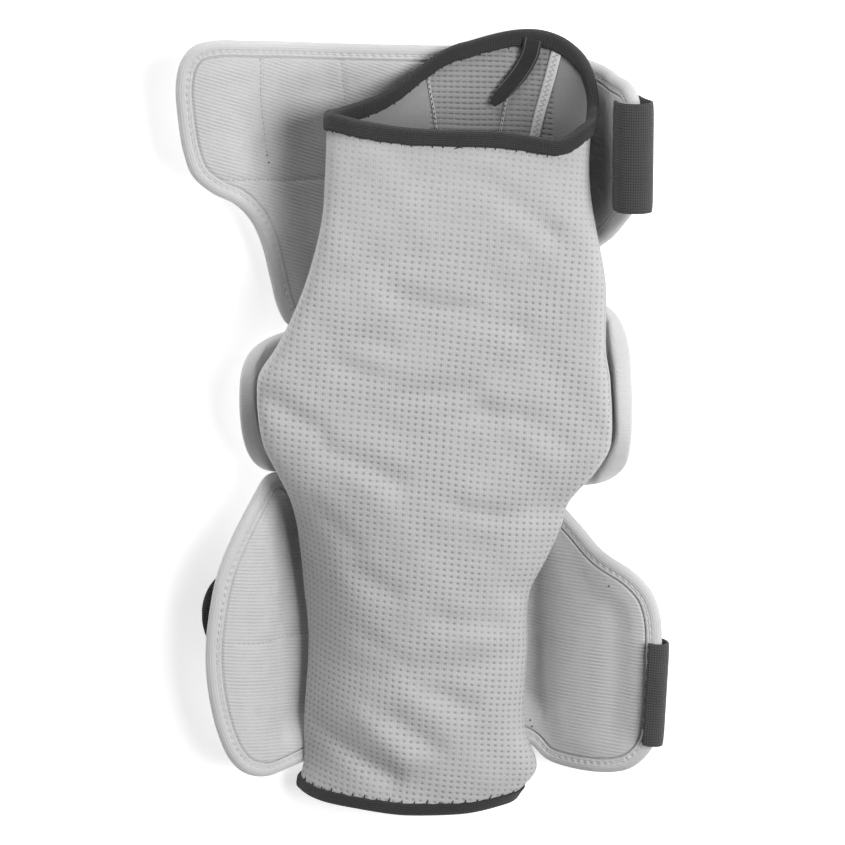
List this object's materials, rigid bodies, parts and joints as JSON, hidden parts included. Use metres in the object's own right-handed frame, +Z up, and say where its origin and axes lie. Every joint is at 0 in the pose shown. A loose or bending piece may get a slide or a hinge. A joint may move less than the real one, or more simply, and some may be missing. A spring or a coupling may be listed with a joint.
{
  "type": "hockey elbow pad",
  "caption": "Padded hockey elbow pad for the right arm: stretch-knit sleeve open at both ends, upper-arm guard, elbow cap and forearm guard behind it, with elastic straps.",
  "frame": {"origin": "middle of the underside of the whole part, on the surface it lies on", "axes": "+Y along the arm toward the upper-arm opening, +Z up from the outer side of the elbow to the sleeve side, +X to the right seen from the sleeve side"},
  "size_m": [0.23, 0.3726, 0.0811],
  "materials": {
    "knit": "perforated stretch knit",
    "dark_elastic": "dark woven elastic",
    "ribbed": "fine ribbed lining cloth over foam",
    "smooth": "smooth cloth over foam",
    "trim": "smooth folded edge strip",
    "tape": "flat woven tape"
  },
  "bodies": {
    "root": {"sleeve_front": "knit", "sleeve_back": "knit", "top_binding": "dark_elastic", "bottom_binding": "dark_elastic", "upper_guard": "ribbed", "upper_guard_binding": "trim", "elbow_cap": "smooth", "forearm_guard": "ribbed", "forearm_guard_binding": "trim", "upper_strap": "dark_elastic", "forearm_strap": "dark_elastic", "side_label": "dark_elastic", "seam_tape": "tape"}
  },
  "joints": []
}
